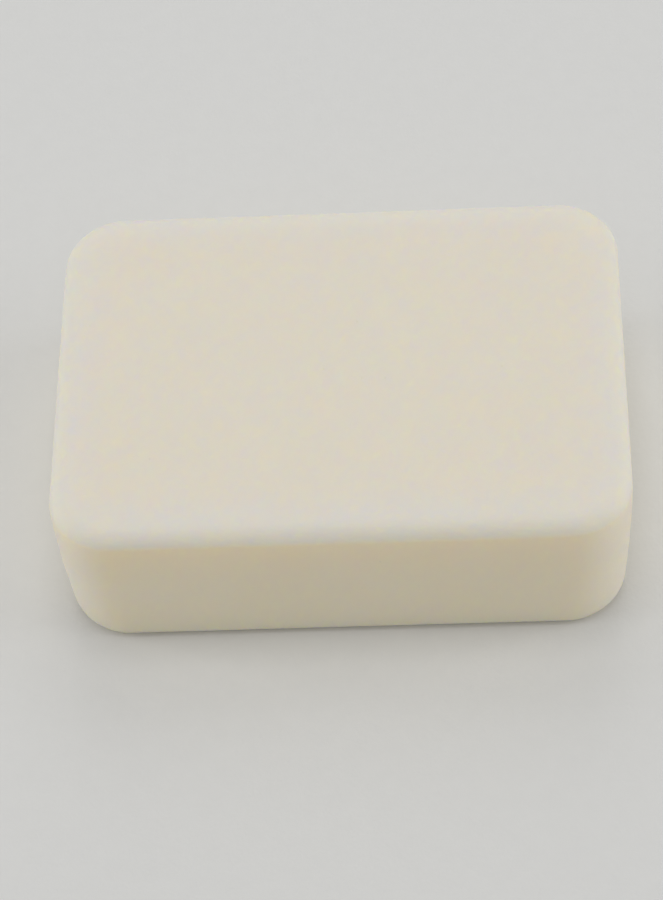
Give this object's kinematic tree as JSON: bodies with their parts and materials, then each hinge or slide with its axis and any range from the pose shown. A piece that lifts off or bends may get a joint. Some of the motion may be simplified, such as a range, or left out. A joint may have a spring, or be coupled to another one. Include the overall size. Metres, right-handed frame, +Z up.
{
  "type": "gymnastics chalk block",
  "caption": "Pressed block of magnesium carbonate grip chalk: a flat oblong bar with rounded upright corners, a soft top edge and a smaller rounded base edge.",
  "frame": {"origin": "middle of the block's flat base, on the surface it rests on", "axes": "+X along the long side, +Y along the short side, +Z up through the flat top face"},
  "size_m": [0.083, 0.06, 0.0265],
  "materials": {
    "chalk": "smooth pressed chalk, matte to satin, slightly translucent"
  },
  "bodies": {
    "root": {"chalk_block": "chalk"}
  },
  "joints": []
}
